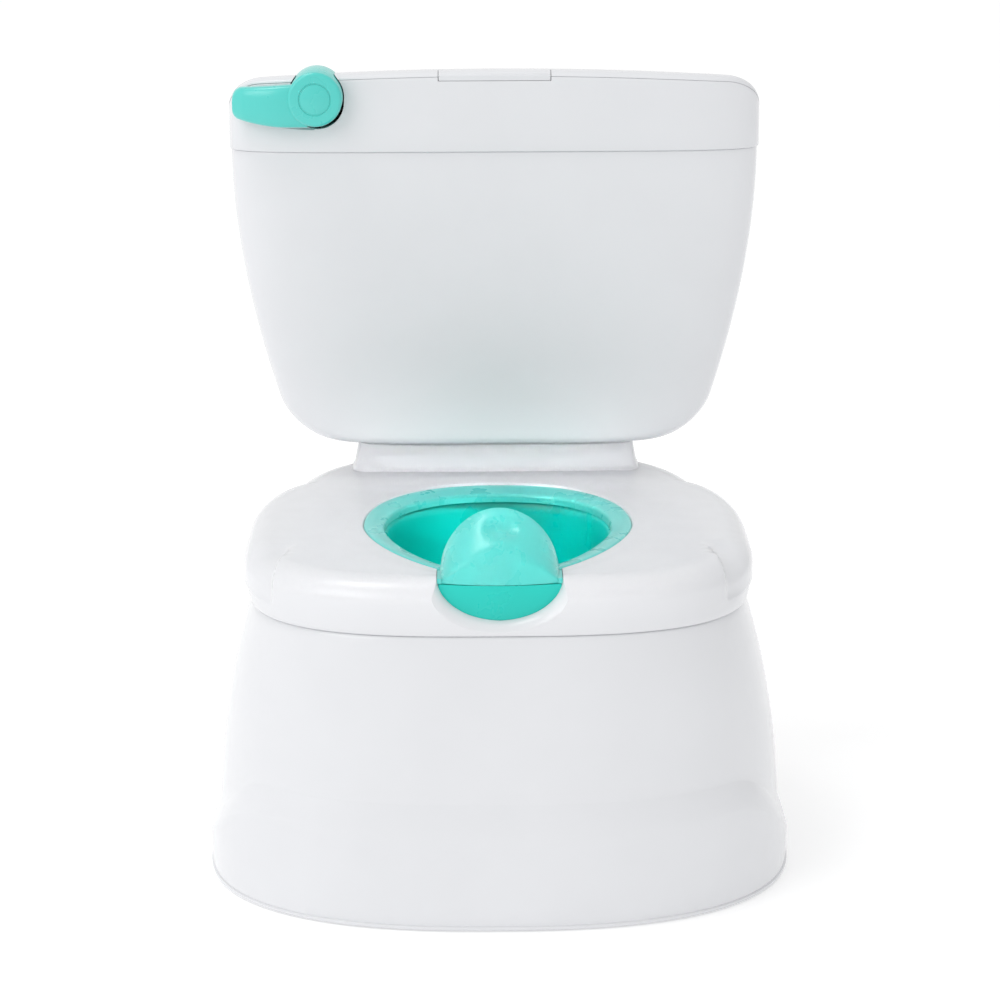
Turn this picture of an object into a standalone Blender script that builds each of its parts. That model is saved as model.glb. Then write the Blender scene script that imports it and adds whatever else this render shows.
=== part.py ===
"""Potty training chair shaped like a small toilet, as separate moulded pieces.

Lengths below are in millimetres and turned to metres by the mesh makers.
+Z is up, -Y is the side the child's legs are on, and the floor is z = 0.
"""
import math

import bmesh
import bpy

MM = 0.001

# Base: an egg-shaped skirt, widest a little in front of the middle.
WIDEST_Y = -30.0
BASE_HALF_WIDTH = 159.5
BASE_FRONT = 125.0
BASE_REAR = 185.0
RIM_HALF_WIDTH = 135.0
RIM_FRONT = 107.0
RIM_REAR = 176.0
RIM_Z = 155.8
BASE_WALL = 3.0
SKIRT_STEP = 4.5
FOOT_RADIUS = 8.0
FOOT_HEIGHT = 3.1

# Seat, with its opening.
SEAM_GAP = 0.5
SEAT_TOP = 185.0
SEAT_SKIN = 3.2
OPENING_Y = -22.0
OPENING_HALF = 72.0
OPENING_FRONT = 104.0
OPENING_REAR = 82.5
GRIP_REACH = 2.0
GRIP_REAR = 68.0
GRIP_LENGTH = 72.0
DECK_NARROWING = 9.8
GRIP_UNDERCUT = 9.0
SCOOP_HALF_WIDTH = 34.5
SCOOP_BOTTOM = 161.8

# Pot and splash guard.
LEDGE_Z = 175.6
POT_BOTTOM = 55.5
FLANGE_TOP = 178.3
RING_TOP = 184.6
HOOD_HALF_WIDTH = 31.5
HOOD_TOP = 215.5
LIP_Y = -127.0
LIP_Z = 181.0

# Neck and tank.
NECK_Y = 105.5
NECK_HALF_WIDTH = 82.5
NECK_HALF_DEPTH = 18.0
TANK_Y = 106.0
TANK_HALF_DEPTH = 36.0
TANK_HALF_WIDTH = 148.2
TANK_BOTTOM = 206.0
TANK_TOP = 375.0
TANK_CORNER = 26.0
TANK_WALL = 3.0
SPLIT_Y = 128.0

# Collar and lid of the wipes store.
COLLAR_HALF_WIDTH = 149.5
COLLAR_HALF_DEPTH = 37.2
CROWN_TOP = 420.3
CROWN_DROP = 4.0
CROWN_AT = 128.0
CROWN_CORNER = 14.0
CORNER_START = 130.0
FALL_START = 81.0
REAR_FALL = 0.135
LID_RIM = 3.0
RIM_GAP = 0.7
LEDGE_LOW = 388.4
LEDGE_HIGH = 391.0
HINGE_Y = 147.0
HINGE_Z = 404.4
HINGE_X = 74.0
KNUCKLE_RADIUS = 3.2
PIN_RADIUS = 1.3
TAB_HALF_WIDTH = 31.2

# Flush lever and the sound module under it.
LEVER_X = -101.0
LEVER_Z = 406.1
DRUM_RADIUS = 15.1
ARM_REACH = 46.5
DRUM_FRONT = 56.0
DRUM_REAR = 90.0
AXLE_RADIUS = 2.0
NOSE_REACH = 12.0
NOSE_DROP = 4.0
MODULE_LOW = (-131.0, 92.0, 324.0)
MODULE_HIGH = (-80.0, 129.5, 388.0)
DOOR_LOW = (-129.0, 328.0)
DOOR_HIGH = (-85.0, 368.0)
DOOR_HINGE_Y = 141.8

GAP = 0.3
BORE_GAP = 0.3
RING_COUNT = 48
TANK_COUNT = 40


# ---------------------------------------------------------------- materials

def make_material(name, colour, roughness, metallic=0.0):
    material = bpy.data.materials.new(name)
    material.use_nodes = True
    shader = material.node_tree.nodes["Principled BSDF"]
    shader.inputs["Base Color"].default_value = (*colour, 1.0)
    shader.inputs["Roughness"].default_value = roughness
    shader.inputs["Metallic"].default_value = metallic
    return material


def piece_material(name, kind):
    colour, roughness, metallic = FINISHES[kind]
    return make_material(name + "_finish", colour, roughness, metallic)


FINISHES = {
    "white": ((0.80, 0.80, 0.81), 0.25, 0.0),
    "teal": ((0.01, 0.47, 0.42), 0.30, 0.0),
    "light_teal": ((0.14, 0.65, 0.60), 0.35, 0.0),
    "grey": ((0.22, 0.22, 0.23), 0.50, 0.0),
    "rubber": ((0.25, 0.25, 0.26), 0.80, 0.0),
    "steel": ((0.55, 0.55, 0.56), 0.30, 1.0),
    "board": ((0.02, 0.16, 0.06), 0.45, 0.0),
    "cell": ((0.10, 0.10, 0.11), 0.35, 0.2),
}


# ------------------------------------------------------------- mesh makers

def make_object(name, points, faces, kind, origin=(0, 0, 0)):
    """A mesh object from millimetre points, with its own origin."""
    mesh = bpy.data.meshes.new(name)
    moved = [tuple((p[i] - origin[i]) * MM for i in range(3)) for p in points]
    mesh.from_pydata(moved, [], faces)
    working = bmesh.new()
    working.from_mesh(mesh)
    bmesh.ops.recalc_face_normals(working, faces=working.faces)
    working.to_mesh(mesh)
    working.free()
    mesh.shade_smooth()
    mesh.set_sharp_from_angle(angle=math.radians(35))
    made = bpy.data.objects.new(name, mesh)
    made.location = tuple(c * MM for c in origin)
    bpy.context.scene.collection.objects.link(made)
    if kind:
        mesh.materials.append(piece_material(name, kind))
    return made


def loft(name, rings, kind, closed=True, origin=(0, 0, 0)):
    """Rings of equal length joined in order.

    A closed loft joins the last ring to the first. An open one closes each end with
    strips between the two halves of its last ring.
    """
    count = len(rings[0])
    points = [p for ring in rings for p in ring]
    faces = []
    spans = len(rings) if closed else len(rings) - 1
    for k in range(spans):
        a, b = k * count, (k + 1) % len(rings) * count
        for i in range(count):
            j = (i + 1) % count
            faces.append((a + i, a + j, b + j, b + i))
    if not closed:
        for start in (0, (len(rings) - 1) * count):
            faces += [tuple(start + i for i in f) for f in strip_cap(count)]
    return make_object(name, points, faces, kind, origin)


def strip_cap(count):
    """Faces across a ring whose points mirror each other about its first point."""
    half = count // 2
    caps = [(0, 1, count - 1)]
    caps += [(i, i + 1, count - i - 1, count - i) for i in range(1, half - 1)]
    caps.append((half - 1, half, half + 1))
    return caps


def block(name, low, high, kind=None, origin=(0, 0, 0)):
    corners = [(x, y, z) for x in (low[0], high[0]) for y in (low[1], high[1]) for z in (low[2], high[2])]
    faces = [(0, 1, 3, 2), (4, 6, 7, 5), (0, 4, 5, 1), (2, 3, 7, 6), (0, 2, 6, 4), (1, 5, 7, 3)]
    return make_object(name, corners, faces, kind, origin)


def place(axis, centre, along, across, up):
    """A point at a distance along an axis and two distances across it."""
    if axis == "X":
        offset = (along, across, up)
    elif axis == "Y":
        offset = (across, along, up)
    else:
        offset = (across, up, along)
    return tuple(centre[i] + offset[i] for i in range(3))


def turned(name, profile, axis, centre, kind=None, sides=20, origin=(0, 0, 0)):
    """A solid of revolution: profile pairs are (distance along the axis, radius)."""
    rings = []
    for along, radius in profile:
        ring = []
        for i in range(sides):
            angle = 2 * math.pi * i / sides
            ring.append(place(axis, centre, along, radius * math.cos(angle), radius * math.sin(angle)))
        rings.append(ring)
    return loft(name, rings, kind, closed=False, origin=origin)


def washer(name, start, end, outer, inner, axis, centre, kind=None, sides=20, origin=(0, 0, 0)):
    """A turned ring with a through hole."""
    rings = []
    for along, radius in ((start, outer), (end, outer), (end, inner), (start, inner)):
        ring = []
        for i in range(sides):
            angle = 2 * math.pi * i / sides
            ring.append(place(axis, centre, along, radius * math.cos(angle), radius * math.sin(angle)))
        rings.append(ring)
    return loft(name, rings, kind, closed=True, origin=origin)


def combine(target, other, operation):
    """A Boolean modifier on target. The other body becomes a hidden guide."""
    modifier = target.modifiers.new(other.name, "BOOLEAN")
    modifier.operation = operation
    modifier.solver = "EXACT"
    modifier.object = other
    other.hide_render = True
    other.display_type = "WIRE"


def cut(target, other):
    combine(target, other, "DIFFERENCE")


def join(target, other):
    combine(target, other, "UNION")


def keep(target, other):
    combine(target, other, "INTERSECT")


# ----------------------------------------------------------------- outlines

def ramp(value, start, end):
    """0 before start, 1 after end, smooth between them. Start may be above end."""
    part = min(1.0, max(0.0, (value - start) / (end - start)))
    return part * part * (3 - 2 * part)


def super_point(angle, half_x, half_y, power):
    cos, sin = math.cos(angle), math.sin(angle)
    x = half_x * math.copysign(abs(cos) ** (2 / power), cos)
    y = half_y * math.copysign(abs(sin) ** (2 / power), sin)
    return x, y


def egg(angle, half_x, front, rear, front_power, rear_power, centre_y):
    """A point of an oval whose front and rear halves have their own depth and squareness."""
    rear_side = math.sin(angle) >= 0
    depth = rear if rear_side else front
    power = rear_power if rear_side else front_power
    x, y = super_point(angle, half_x, depth, power)
    return x, centre_y + y


def opening_point(angle, grow):
    """The seat opening's oval, drawn in towards the front, grown by some millimetres."""
    return egg(angle, OPENING_HALF + grow, OPENING_FRONT + grow, OPENING_REAR + grow, 1.6, 2.3, OPENING_Y)


def base_point(angle, z, inset=0.0, step=0.0):
    """The base's outer surface at a height: its sides lean in and grow squarer upwards."""
    rise = max(0.0, z) / RIM_Z
    lean = rise ** 2.4
    half = BASE_HALF_WIDTH - SKIRT_STEP + 1.5 - (BASE_HALF_WIDTH - 3.0 - RIM_HALF_WIDTH) * lean
    front = BASE_FRONT - SKIRT_STEP + 0.5 - (BASE_FRONT - 4.0 - RIM_FRONT) * lean
    rear = BASE_REAR - SKIRT_STEP + 0.5 - (BASE_REAR - 4.0 - RIM_REAR) * lean
    out = step - inset
    return egg(angle, half + out, front + out, rear + out, 2.5 + 0.5 * rise, 2.5 + 1.0 * rise, WIDEST_Y)


def front_share(angle):
    """1 over the front of the base, 0 at its sides and rear."""
    return ramp(-math.sin(angle), 0.05, 0.70)


def rim_point(angle, inset, grips=0.0, undercut=0.0):
    """The seat's outer edge. The grips stand out along its sides, and the deck behind them is narrower."""
    x, y = egg(angle, RIM_HALF_WIDTH - inset, RIM_FRONT - inset, RIM_REAR - inset, 3.0, 3.5, WIDEST_Y)
    side = math.copysign(1.0, x) if abs(x) > 1.0 else 0.0
    forward = min(1.0, max(0.0, (GRIP_REAR - y) / GRIP_LENGTH))
    swell = math.sqrt(1.0 - (1.0 - forward) ** 2)
    reach = GRIP_REACH * swell * ramp(y, -116.0, -92.0) - DECK_NARROWING * (1.0 - swell) * ramp(abs(x), 20.0, 70.0)
    finger_gap = undercut * ramp(y, 48.0, 34.0) * ramp(y, -74.0, -60.0)
    return x + side * (grips * reach - finger_gap), y


def ring_of(maker, z, *values, count=RING_COUNT):
    """A ring of points from an outline maker. z is a height or a function of the angle."""
    ring = []
    for i in range(count):
        angle = 2 * math.pi * i / count
        x, y = maker(angle, *values)
        ring.append((x, y, z(angle) if callable(z) else z))
    return ring


def mixed_ring(first, second, share, z):
    """A ring part of the way between two rings, at one height."""
    return [(a[0] + (b[0] - a[0]) * share, a[1] + (b[1] - a[1]) * share, z) for a, b in zip(first, second)]


# --------------------------------------------------------------------- base

def build_base():
    """One hollow skirt with a deck on top. The deck is open for the pot and solid at the rear."""
    def step_low(angle):
        return 16.0 + 36.0 * front_share(angle)

    def step_high(angle):
        return 30.0 + 43.0 * front_share(angle)

    rings = [
        ring_of(base_point, 1.0, 0.0, 0.6, SKIRT_STEP - 1.0),
        ring_of(base_point, 3.0, 0.0, 0.0, SKIRT_STEP - 1.5),
        ring_of(base_point, 9.0, 9.0, 0.0, SKIRT_STEP - 1.5),
    ]
    for height, step in ((step_low, SKIRT_STEP - 1.5), (step_high, 0.0)):
        ring = []
        for i in range(RING_COUNT):
            angle = 2 * math.pi * i / RING_COUNT
            z = height(angle)
            ring.append((*base_point(angle, z, 0.0, step), z))
        rings.append(ring)
    for z in (97.0, 125.0, 147.0):
        rings.append(ring_of(base_point, z, z))
    rings += [
        ring_of(base_point, RIM_Z - 0.9, RIM_Z - 0.9, 0.4),
        ring_of(base_point, RIM_Z, RIM_Z, 1.6),
        ring_of(opening_point, RIM_Z, 7.0),
        ring_of(opening_point, RIM_Z - BASE_WALL, 7.0),
        ring_of(base_point, RIM_Z - BASE_WALL, RIM_Z, BASE_WALL + 1.0),
    ]
    for z in (125.0, 85.0, 30.0):
        rings.append(ring_of(base_point, z, z, BASE_WALL))
    rings += [
        ring_of(base_point, 6.6, 0.0, BASE_WALL),
        ring_of(base_point, 6.6, 0.0, 25.0),
        ring_of(base_point, FOOT_HEIGHT + GAP, 0.0, 25.0),
        ring_of(base_point, FOOT_HEIGHT + GAP, 0.0, 0.5),
        ring_of(base_point, 1.0, 0.0, 0.5),
    ]
    loft("base_shell", rings, "white")


def build_feet():
    """Four rubber pads under the flange inside the skirt."""
    for number, degrees in enumerate((-50, -130, 50, 130), 1):
        x, y = base_point(math.radians(degrees), 0.0, 14.0)
        profile = ((0.0, FOOT_RADIUS - 0.8), (0.8, FOOT_RADIUS), (FOOT_HEIGHT, FOOT_RADIUS))
        turned(f"rubber_foot_{number}", profile, "Z", (x, y, 0.0), "rubber", 16)


# --------------------------------------------------------------------- seat

def build_seat():
    """The white moulding that holds the pot: rounded rim, side grips, rear deck and front scoop."""
    inner = ring_of(opening_point, SEAT_TOP, 1.0)
    outer = ring_of(rim_point, SEAT_TOP, 12.0, 1.0)
    bottom = RIM_Z + SEAM_GAP
    underside = SEAT_TOP - SEAT_SKIN
    rings = [
        ring_of(opening_point, LEDGE_Z, 1.0),
        ring_of(opening_point, SEAT_TOP - 1.4, 1.0),
        ring_of(opening_point, SEAT_TOP - 0.3, 2.2),
        mixed_ring(inner, outer, 0.35, SEAT_TOP),
        mixed_ring(inner, outer, 0.75, SEAT_TOP),
        ring_of(rim_point, SEAT_TOP - 0.2, 11.0, 1.0),
        ring_of(rim_point, SEAT_TOP - 2.2, 5.0, 1.0),
        ring_of(rim_point, SEAT_TOP - 6.5, 1.2, 1.0),
        ring_of(rim_point, SEAT_TOP - 12.5, -0.3, 1.0),
        ring_of(rim_point, SEAT_TOP - 18.5, 0.3, 1.0),
        ring_of(rim_point, SEAT_TOP - 20.5, 1.0, 0.4, GRIP_UNDERCUT),
        ring_of(rim_point, bottom, 0.0, 0.0, GRIP_UNDERCUT),
        ring_of(rim_point, bottom, 3.0, 0.0, GRIP_UNDERCUT),
        ring_of(rim_point, SEAT_TOP - 18.0, 3.8, 0.4, GRIP_UNDERCUT),
        ring_of(rim_point, SEAT_TOP - 8.5, 6.0, 1.0),
        ring_of(rim_point, underside - 0.8, 12.0, 1.0),
        mixed_ring(inner, outer, 0.55, underside),
        ring_of(opening_point, underside, 4.2),
        ring_of(opening_point, LEDGE_Z - 3.0, 4.2),
        ring_of(opening_point, LEDGE_Z - 3.0, -7.0),
        ring_of(opening_point, LEDGE_Z, -7.0),
    ]
    seat = loft("seat", rings, "white")
    profile_count = 36
    half_height = SEAT_TOP + 1.0 - SCOOP_BOTTOM
    ends = []
    for y in (-152.0, -98.0):
        ring = []
        for i in range(profile_count):
            angle = 2 * math.pi * i / profile_count
            ring.append((SCOOP_HALF_WIDTH * math.cos(angle), y, SEAT_TOP + 1.0 + half_height * math.sin(angle)))
        ends.append(ring)
    cut(seat, loft("scoop_cutter", ends, None, closed=False))
    for number, (x, y) in enumerate(NECK_SCREWS, 1):
        shape = ((-10.0, AXLE_RADIUS + 0.4), (6.0, AXLE_RADIUS + 0.4))
        cut(seat, turned(f"deck_hole_{number}", shape, "Z", (x, y, SEAT_TOP), None, 12))


# ------------------------------------------------------------ pot and guard

def build_pot():
    """The lift-out bowl. Its flange hangs on the seat's ledge and its front has a finger apron."""
    flange_low = LEDGE_Z + GAP
    rings = []
    for grow, z in ((-30.0, POT_BOTTOM), (-24.0, 57.5), (-18.5, 68.0), (-14.5, 100.0), (-11.5, 140.0),
                    (-9.6, 171.0), (-9.4, flange_low), (-0.5, flange_low), (-0.5, FLANGE_TOP),
                    (-11.0, FLANGE_TOP), (-12.2, 174.0), (-14.0, 140.0), (-17.0, 100.0), (-21.0, 71.0),
                    (-26.5, 61.0), (-34.0, POT_BOTTOM + 2.6)):
        rings.append(ring_of(opening_point, z, grow))
    pot = loft("pot", rings, "teal", closed=False)
    half = HOOD_HALF_WIDTH - 1.0
    plate = []
    for y in (-126.6, -124.0):
        ring = []
        for i in range(24):
            angle = 2 * math.pi * i / 24
            rise = math.sin(angle)
            top = FLANGE_TOP - flange_low
            z = flange_low + (top if rise > 0.0 else 15.0) * rise
            ring.append((half * math.cos(angle), y, z))
        plate.append(ring)
    join(pot, loft("apron", plate, None, closed=False))


def ring_inner(angle, grow):
    return egg(angle, OPENING_HALF - 10.0 + grow, OPENING_FRONT - 10.0 + grow, OPENING_REAR - 15.0 + grow,
               1.6, 2.3, OPENING_Y)


def hood_point(around, along):
    """A point of the hood's middle surface: around runs from side to side, along from ridge to lip."""
    angle = math.pi * around
    side = -math.cos(angle)
    height = math.sin(angle) ** 0.92
    ridge = (HOOD_HALF_WIDTH * side * (1 - 0.10 * height), -111.0 + 8.0 * height,
             LIP_Z + 3.0 + (HOOD_TOP - LIP_Z - 3.0) * height)
    lip = (HOOD_HALF_WIDTH * side, LIP_Y + 7.0 * side * side, LIP_Z)
    bulge = 7.0 * height * math.sin(math.pi * along) ** 0.9
    point = [ridge[i] + (lip[i] - ridge[i]) * along for i in range(3)]
    return point[0], point[1] - bulge, point[2] + 0.35 * bulge


def build_guard():
    """The lighter ring that covers the pot's flange, with the hood that rises at the front."""
    rings = [
        ring_of(opening_point, FLANGE_TOP + GAP, 0.0),
        ring_of(opening_point, RING_TOP - 0.9, 0.0),
        ring_of(opening_point, RING_TOP, -1.2),
        ring_of(opening_point, RING_TOP - 0.1, -3.0),
        ring_of(ring_inner, RING_TOP - 1.7, 0.9),
        ring_of(ring_inner, RING_TOP - 2.9, 0.0),
        ring_of(ring_inner, FLANGE_TOP + GAP, 0.0),
    ]
    guard = loft("splash_guard", rings, "light_teal")
    around, along, thick = 18, 7, 2.3
    points = []
    for side in (0.0, thick):
        for j in range(along + 1):
            for i in range(around + 1):
                x, y, z = hood_point(i / around, j / along)
                points.append((x * (1 - side / HOOD_HALF_WIDTH), y + side, z - 0.45 * side))
    row, sheet = around + 1, (around + 1) * (along + 1)
    faces = []
    for j in range(along):
        for i in range(around):
            a = j * row + i
            faces.append((a, a + 1, a + row + 1, a + row))
            faces.append((sheet + a, sheet + a + row, sheet + a + row + 1, sheet + a + 1))
    edge = [i for i in range(row)] + [j * row + around for j in range(1, along + 1)]
    edge += [along * row + i for i in range(around - 1, -1, -1)] + [j * row for j in range(along - 1, 0, -1)]
    for i, a in enumerate(edge):
        b = edge[(i + 1) % len(edge)]
        faces.append((a, b, sheet + b, sheet + a))
    join(guard, make_object("hood", points, faces, None))


# --------------------------------------------------------------------- neck

NECK_SCREWS = [(x, NECK_Y + y) for x in (-57.0, 57.0) for y in (-7.0, 7.0)]
TANK_SCREWS = [(x, NECK_Y) for x in (-35.0, 35.0)]


def neck_point(angle, half_width, half_depth):
    x, y = super_point(angle, half_width, half_depth, 5.0)
    return x, NECK_Y + y


def build_neck():
    """The hollow pedestal between the seat's rear deck and the tank."""
    foot, top = SEAT_TOP + GAP, TANK_BOTTOM - GAP
    rings = [
        ring_of(neck_point, top - 3.0, NECK_HALF_WIDTH - 6.0, NECK_HALF_DEPTH - 3.0, count=32),
        ring_of(neck_point, foot, NECK_HALF_WIDTH - 3.0, NECK_HALF_DEPTH - 3.0, count=32),
        ring_of(neck_point, foot, NECK_HALF_WIDTH + 1.2, NECK_HALF_DEPTH + 1.0, count=32),
        ring_of(neck_point, foot + 2.5, NECK_HALF_WIDTH, NECK_HALF_DEPTH, count=32),
        ring_of(neck_point, top, NECK_HALF_WIDTH - 3.6, NECK_HALF_DEPTH - 0.5, count=32),
    ]
    neck = loft("neck", rings, "white", closed=False)
    for number, (x, y) in enumerate(NECK_SCREWS, 1):
        post = turned(f"neck_post_{number}", ((0.0, 4.6), (top - foot - 1.0, 4.6)), "Z", (x, y, foot), None, 12)
        hole = turned(f"neck_hole_{number}", ((-5.0, 2.3), (12.5, 2.3)), "Z", (x, y, foot), None, 12)
        join(neck, post)
        cut(neck, hole)
        head = ((-SEAT_SKIN - 3.1, 4.0), (-SEAT_SKIN - 0.6, 4.0), (-SEAT_SKIN - 0.6, 2.0), (11.5, 2.0), (12.2, 1.2))
        turned(f"neck_screw_{number}", head, "Z", (x, y, SEAT_TOP), "steel", 12)
    for number, (x, y) in enumerate(TANK_SCREWS, 1):
        post = turned(f"neck_socket_{number}", ((-12.0, 4.6), (-1.0, 4.6)), "Z", (x, y, top), None, 12)
        hole = turned(f"socket_hole_{number}", ((-10.5, 2.3), (5.0, 2.3)), "Z", (x, y, top), None, 12)
        join(neck, post)
        cut(neck, hole)
        head = ((-9.0, 1.2), (-8.3, 2.0), (3.6, 2.0), (3.6, 4.0), (6.1, 4.0))
        turned(f"tank_screw_{number}", head, "Z", (x, y, TANK_BOTTOM), "steel", 12)


# --------------------------------------------------------------------- tank

def tank_half_width(z):
    """The tank narrows downwards, faster near its foot."""
    return TANK_HALF_WIDTH - 25.3 * (max(0.0, 371.0 - z) / 142.0) ** 1.82


def corner_inset(height, radius):
    """How far a round edge of that radius draws in at a height above its lowest line."""
    if height >= radius:
        return 0.0
    return radius - math.sqrt(radius * radius - (radius - height) ** 2)


def tank_point(angle, z, inset):
    height = max(0.0, z - TANK_BOTTOM - inset)
    half = tank_half_width(z) - inset - corner_inset(height, TANK_CORNER - inset)
    depth = TANK_HALF_DEPTH - inset - corner_inset(height, 5.0 - inset / 2)
    x, y = super_point(angle, half, depth, 5.0)
    return x, TANK_Y + y


def tank_body(name, kind="white", origin=(0, 0, 0)):
    """The whole tank as a cup, before it is split into its front and its rear cover."""
    rings = []
    for z in (TANK_BOTTOM, 206.7, 208.6, 212.5, 218.0, 226.0, 236.0, 260.0, 290.0, 330.0, TANK_TOP):
        rings.append(ring_of(tank_point, z, z, 0.0, count=TANK_COUNT))
    for z in (TANK_TOP, 330.0, 290.0, 260.0, 236.0, 226.0, 218.0, 212.0, TANK_BOTTOM + TANK_WALL):
        rings.append(ring_of(tank_point, z, z, TANK_WALL, count=TANK_COUNT))
    return loft(name, rings, kind, closed=False, origin=origin)


COVER_SCREWS = [(x, z) for z, reach in ((234.0, 78.0), (334.0, 62.0)) for x in (-reach, reach)]


def build_tank():
    """Front shell and rear cover, split at one plane and held by long screws into posts."""
    front = tank_body("tank_front")
    keep(front, block("front_side", (-200, 40, 190), (200, SPLIT_Y - GAP / 2, 400)))
    rear = tank_body("tank_back")
    keep(rear, block("rear_side", (-200, SPLIT_Y + GAP / 2, 190), (200, 160, 400)))
    for number, (x, z) in enumerate(COVER_SCREWS, 1):
        post = turned(f"front_post_{number}", ((72.0, 4.8), (SPLIT_Y - GAP / 2, 4.8)), "Y", (x, 0, z), None, 12)
        bore = turned(f"front_bore_{number}", ((112.0, 2.3), (135.0, 2.3)), "Y", (x, 0, z), None, 12)
        join(front, post)
        cut(front, bore)
        boss = turned(f"rear_boss_{number}", ((SPLIT_Y + GAP / 2, 6.0), (140.0, 6.0)), "Y", (x, 0, z), None, 16)
        well = turned(f"rear_well_{number}", ((136.0, 4.4), (150.0, 4.4)), "Y", (x, 0, z), None, 16)
        through = turned(f"rear_hole_{number}", ((120.0, 2.3), (150.0, 2.3)), "Y", (x, 0, z), None, 12)
        join(rear, boss)
        cut(rear, well)
        cut(rear, through)
        shape = ((114.0, 1.2), (115.0, 2.0), (136.3, 2.0), (136.3, 4.0), (138.8, 4.0))
        turned(f"cover_screw_{number}", shape, "Y", (x, 0, z), "steel", 12)
    for number, (x, y) in enumerate(TANK_SCREWS, 1):
        cut(front, turned(f"floor_hole_{number}", ((-8.0, 2.3), (8.0, 2.3)), "Z", (x, y, TANK_BOTTOM), None, 12))
    window = block("door_window", (DOOR_LOW[0], 126.0, DOOR_LOW[1]), (DOOR_HIGH[0], 160.0, DOOR_HIGH[1]))
    cut(rear, window)
    hinge = ((DOOR_LOW[0] + DOOR_HIGH[0]) / 2, DOOR_HINGE_Y, DOOR_LOW[1] + 0.5)
    door = tank_body("battery_door", origin=hinge)
    keep(door, block("door_limit", (DOOR_LOW[0] + 0.5, SPLIT_Y + GAP, DOOR_LOW[1] + 0.5),
                     (DOOR_HIGH[0] - 0.5, 160.0, DOOR_HIGH[1] - 0.5)))
    screw_at = (hinge[0], 0.0, DOOR_HIGH[1] - 6.0)
    cut(door, turned("door_hole", ((125.0, 2.2), (150.0, 2.2)), "Y", screw_at, None, 12))
    shape = ((132.5, 1.0), (133.2, 1.8), (141.9, 1.8), (141.9, 3.5), (143.5, 3.5))
    turned("battery_door_screw", shape, "Y", screw_at, "steel", 12, hinge)


# ------------------------------------------------------------ collar and lid

def crown(x, y):
    """Height of the lid's top: highest in the middle in front, rounded off at its ends, falling to the rear."""
    end = min(1.0, max(0.0, (abs(x) - CORNER_START) / (COLLAR_HALF_WIDTH - CORNER_START)))
    rounding = CROWN_CORNER * (1.0 - math.sqrt(1.0 - end * end))
    return CROWN_TOP - CROWN_DROP * (x / CROWN_AT) ** 2 - rounding - REAR_FALL * max(0.0, y - FALL_START)


def collar_ring(inset, z=None, below=None):
    """A ring of the collar's outline, at one height or at a distance below the crown."""
    ring = []
    for i in range(TANK_COUNT):
        angle = 2 * math.pi * i / TANK_COUNT
        x, y = super_point(angle, COLLAR_HALF_WIDTH - inset, COLLAR_HALF_DEPTH - inset, 5.0)
        y += TANK_Y
        ring.append((x, y, crown(x, y) - below if z is None else z))
    return ring


def drum_pocket(name):
    """Room for the lever's drum: a round bore, open upwards."""
    radius = DRUM_RADIUS + 1.5
    centre = (LEVER_X, 0.0, LEVER_Z)
    bore = turned(name, ((50.0, radius), (DRUM_REAR + 3.0, radius)), "Y", centre, None, 32)
    slot = block(name + "_slot", (LEVER_X - radius + 0.1, 50.0, LEVER_Z), (LEVER_X + radius - 0.1, DRUM_REAR + 3.0, 430.0))
    return bore, slot


def build_collar():
    """The band that closes the tank's top edge. An inner ledge carries the wipes tray."""
    bottom = TANK_TOP + GAP
    rings = [
        collar_ring(0.8, bottom), collar_ring(0.0, bottom + 1.3), collar_ring(0.0, 384.0),
        collar_ring(0.2, below=LID_RIM + RIM_GAP), collar_ring(3.2, below=LID_RIM + RIM_GAP),
        collar_ring(3.2, LEDGE_HIGH), collar_ring(9.0, LEDGE_HIGH), collar_ring(9.0, LEDGE_LOW),
        collar_ring(3.2, LEDGE_LOW), collar_ring(3.2, bottom),
    ]
    collar = loft("tank_collar", rings, "white")
    for tool in drum_pocket("collar_pocket"):
        cut(collar, tool)
    cut(collar, block("tab_slot", (-TAB_HALF_WIDTH - 1.2, 50.0, CROWN_TOP - 6.2), (TAB_HALF_WIDTH + 1.2, 73.5, 430.0)))
    for name, x in (("left", -HINGE_X), ("right", HINGE_X)):
        ear = washer(f"collar_knuckle_{name}", -4.0, 4.0, KNUCKLE_RADIUS, PIN_RADIUS + BORE_GAP, "X",
                     (x, HINGE_Y, HINGE_Z))
        root = block(f"collar_ear_{name}", (x - 4.0, 141.5, HINGE_Z - 4.5), (x + 4.0, 145.2, HINGE_Z - 1.0))
        join(collar, root)
        join(collar, ear)


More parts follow.
